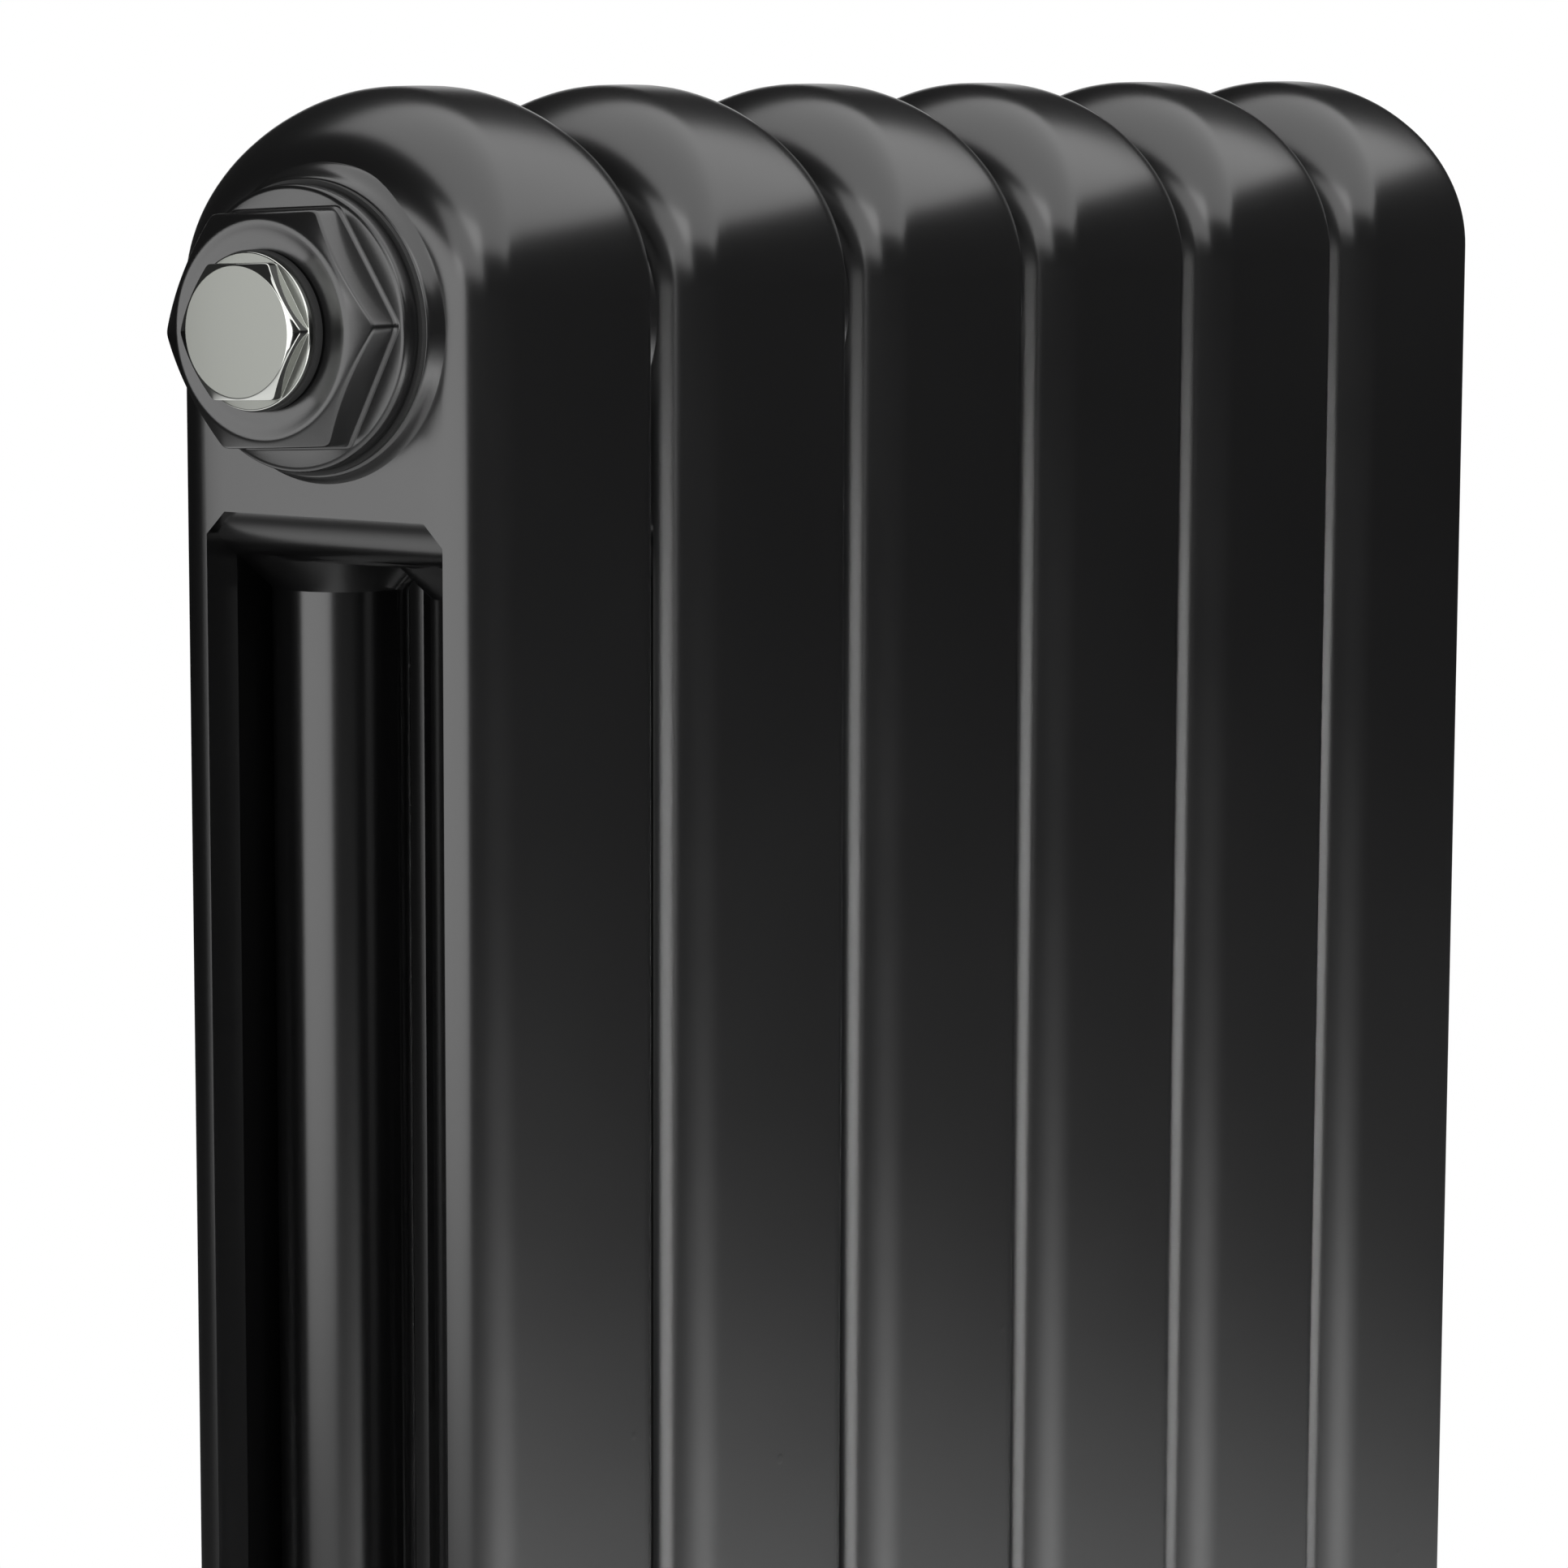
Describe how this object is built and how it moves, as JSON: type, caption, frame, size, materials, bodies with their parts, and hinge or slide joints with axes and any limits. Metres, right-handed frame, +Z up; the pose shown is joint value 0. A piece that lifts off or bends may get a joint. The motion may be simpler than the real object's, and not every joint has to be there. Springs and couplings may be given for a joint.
{
  "type": "cast iron radiator",
  "caption": "Black cast iron column radiator of narrow rounded sections on two arched feet, with hexagonal end bushings, a chromed blank plug, an air vent and two open pipe ports.",
  "frame": {"origin": "floor under the middle of the row of sections", "axes": "+Z up, X along the row of sections with the blank plug at -X, -Y is the front face"},
  "size_m": [0.3974, 0.07, 0.655],
  "materials": {
    "black_paint": "black satin paint on cast iron",
    "black_paint_fitting": "black satin paint on machined iron",
    "nipple_iron": "bare malleable iron",
    "gasket": "matt",
    "chrome": "polished chrome plate",
    "brass": "turned brass"
  },
  "bodies": {
    "radiator": {"section_1": "black_paint", "section_2": "black_paint", "section_3": "black_paint", "section_4": "black_paint", "section_5": "black_paint", "section_6": "black_paint", "nipple_top_1": "nipple_iron", "nipple_top_2": "nipple_iron", "nipple_top_3": "nipple_iron", "nipple_top_4": "nipple_iron", "nipple_top_5": "nipple_iron", "nipple_bottom_1": "nipple_iron", "nipple_bottom_2": "nipple_iron", "nipple_bottom_3": "nipple_iron", "nipple_bottom_4": "nipple_iron", "nipple_bottom_5": "nipple_iron", "gasket_top_1": "gasket", "gasket_top_2": "gasket", "gasket_top_3": "gasket", "gasket_top_4": "gasket", "gasket_top_5": "gasket", "gasket_bottom_1": "gasket", "gasket_bottom_2": "gasket", "gasket_bottom_3": "gasket", "gasket_bottom_4": "gasket", "gasket_bottom_5": "gasket", "bushing_top_left": "black_paint_fitting", "bushing_top_right": "black_paint_fitting", "bushing_bottom_left": "black_paint_fitting", "bushing_bottom_right": "black_paint_fitting", "bushing_gasket_top_left": "gasket", "bushing_gasket_top_right": "gasket", "bushing_gasket_bottom_left": "gasket", "bushing_gasket_bottom_right": "gasket", "blank_plug": "chrome", "plug_gasket": "gasket", "vent_body": "chrome", "vent_gasket": "gasket"},
    "bleed_screw": {"bleed_screw": "brass"}
  },
  "joints": [
    {"name": "bleed_screw_turn", "type": "hinge", "parent": "radiator", "child": "bleed_screw", "pos_m": [0.1972, 0, 0.615], "axis": [1, 0, 0], "range_deg": [0, 540]}
  ]
}
